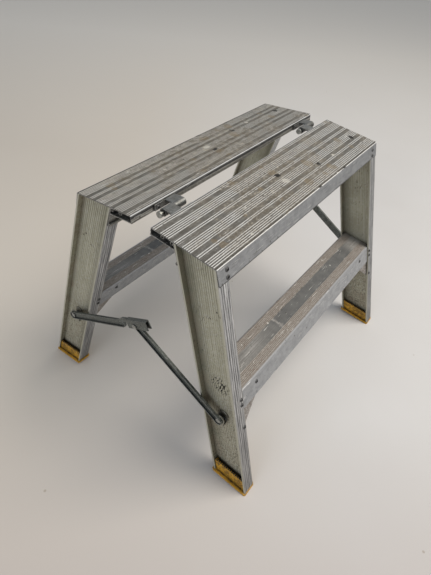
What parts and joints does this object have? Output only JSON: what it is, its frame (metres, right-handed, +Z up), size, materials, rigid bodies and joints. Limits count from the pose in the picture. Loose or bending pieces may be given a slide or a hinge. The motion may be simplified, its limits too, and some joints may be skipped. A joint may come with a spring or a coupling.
{
  "type": "step ladder",
  "caption": "Folding aluminium trestle ladder: paired ribbed decks hinged along a gap, splayed I-section legs, a tread on each side, folding end spreaders and moulded feet.",
  "frame": {"origin": "centre of the footprint, on the floor", "axes": "+X along the decks towards the right-hand spreader as seen from the front, +Y from the front half towards the back half, +Z up"},
  "size_m": [0.7646, 0.6832, 0.6012],
  "materials": {
    "deck_aluminium": "worn mill finish with extruded grip ribs",
    "stile_aluminium": "worn mill finish with extruded lines",
    "gusset_aluminium": "dull and stained mill finish",
    "rivet_aluminium": "bright pressed heads",
    "spreader_steel": "dull zinc plate",
    "bracket_steel": "dull zinc plate",
    "hinge_steel": "zinc plate, rubbed bright",
    "pin_steel": "turned and zinc plated",
    "foot_plastic": "moulded, scuffed and dirty"
  },
  "bodies": {
    "back_half": {"back_bracket_rivets": "rivet_aluminium", "back_deck": "deck_aluminium", "back_deck_rivets": "rivet_aluminium", "back_gusset_rivets": "rivet_aluminium", "back_hinge_rivets": "rivet_aluminium", "back_left_foot": "foot_plastic", "back_left_hinge_leaf": "hinge_steel", "back_left_inner_gusset": "gusset_aluminium", "back_left_outer_gusset": "gusset_aluminium", "back_left_spreader_bracket": "bracket_steel", "back_left_stile": "stile_aluminium", "back_right_foot": "foot_plastic", "back_right_hinge_leaf": "hinge_steel", "back_right_inner_gusset": "gusset_aluminium", "back_right_outer_gusset": "gusset_aluminium", "back_right_spreader_bracket": "bracket_steel", "back_right_stile": "stile_aluminium", "back_tread": "deck_aluminium", "back_tread_rivets": "rivet_aluminium"},
    "hinge_pins": {"left_hinge_pin": "pin_steel", "left_hinge_washer": "pin_steel", "right_hinge_pin": "pin_steel", "right_hinge_washer": "pin_steel"},
    "front_half": {"front_bracket_rivets": "rivet_aluminium", "front_deck": "deck_aluminium", "front_deck_rivets": "rivet_aluminium", "front_gusset_rivets": "rivet_aluminium", "front_hinge_rivets": "rivet_aluminium", "front_left_foot": "foot_plastic", "front_left_hinge_leaf": "hinge_steel", "front_left_inner_gusset": "gusset_aluminium", "front_left_outer_gusset": "gusset_aluminium", "front_left_spreader_bracket": "bracket_steel", "front_left_stile": "stile_aluminium", "front_right_foot": "foot_plastic", "front_right_hinge_leaf": "hinge_steel", "front_right_inner_gusset": "gusset_aluminium", "front_right_outer_gusset": "gusset_aluminium", "front_right_spreader_bracket": "bracket_steel", "front_right_stile": "stile_aluminium", "front_rivet_tails": "pin_steel", "front_tread": "deck_aluminium", "front_tread_rivets": "rivet_aluminium"},
    "left_back_pivot": {"left_back_pivot_rivet": "pin_steel"},
    "left_back_link": {"left_back_link": "spreader_steel"},
    "left_middle_pivot": {"left_middle_rivet": "pin_steel"},
    "left_front_link": {"left_front_link": "spreader_steel", "left_front_pivot_rivet": "pin_steel"},
    "right_back_pivot": {"right_back_pivot_rivet": "pin_steel"},
    "right_back_link": {"right_back_link": "spreader_steel"},
    "right_middle_pivot": {"right_middle_rivet": "pin_steel"},
    "right_front_link": {"right_front_link": "spreader_steel", "right_front_pivot_rivet": "pin_steel"}
  },
  "joints": [
    {"name": "close", "type": "hinge", "parent": "back_half", "child": "hinge_pins", "pos_m": [0, 0, 0.59098], "axis": [1, 0, 0], "range_deg": [0, 44.94]},
    {"name": "open", "type": "hinge", "parent": "hinge_pins", "child": "front_half", "pos_m": [0, 0, 0.59098], "axis": [1, 0, 0], "range_deg": [-10.86, 0]},
    {"name": "left_back_pivot_open", "type": "hinge", "parent": "back_half", "child": "left_back_pivot", "pos_m": [-0.36943, 0.23434, 0.2126], "axis": [1, 0, 0], "range_deg": [0, 24.02]},
    {"name": "left_back_link_close", "type": "hinge", "parent": "left_back_pivot", "child": "left_back_link", "pos_m": [-0.36943, 0.23434, 0.2126], "axis": [1, 0, 0], "range_deg": [-22.59, 0]},
    {"name": "left_middle_pivot_open", "type": "hinge", "parent": "left_back_link", "child": "left_middle_pivot", "pos_m": [-0.36943, 0, 0.34488], "axis": [1, 0, 0], "range_deg": [-58.89, 0]},
    {"name": "left_front_link_close", "type": "hinge", "parent": "left_middle_pivot", "child": "left_front_link", "pos_m": [-0.36943, 0, 0.34488], "axis": [1, 0, 0], "range_deg": [0, 90.11]},
    {"name": "right_back_pivot_open", "type": "hinge", "parent": "back_half", "child": "right_back_pivot", "pos_m": [0.36943, 0.23434, 0.2126], "axis": [1, 0, 0], "range_deg": [0, 24.02]},
    {"name": "right_back_link_close", "type": "hinge", "parent": "right_back_pivot", "child": "right_back_link", "pos_m": [0.36943, 0.23434, 0.2126], "axis": [1, 0, 0], "range_deg": [-22.59, 0]},
    {"name": "right_middle_pivot_open", "type": "hinge", "parent": "right_back_link", "child": "right_middle_pivot", "pos_m": [0.36943, 0, 0.34488], "axis": [1, 0, 0], "range_deg": [-58.89, 0]},
    {"name": "right_front_link_close", "type": "hinge", "parent": "right_middle_pivot", "child": "right_front_link", "pos_m": [0.36943, 0, 0.34488], "axis": [1, 0, 0], "range_deg": [0, 90.11]}
  ],
  "couplings": [
    {"joint": "left_back_pivot_open", "follows": "open", "ratio": -2.2111},
    {"joint": "left_back_link_close", "follows": "close", "ratio": -0.50251},
    {"joint": "left_middle_pivot_open", "follows": "open", "ratio": 5.4222},
    {"joint": "left_front_link_close", "follows": "close", "ratio": 2.005},
    {"joint": "right_back_pivot_open", "follows": "open", "ratio": -2.2111},
    {"joint": "right_back_link_close", "follows": "close", "ratio": -0.50251},
    {"joint": "right_middle_pivot_open", "follows": "open", "ratio": 5.4222},
    {"joint": "right_front_link_close", "follows": "close", "ratio": 2.005}
  ]
}
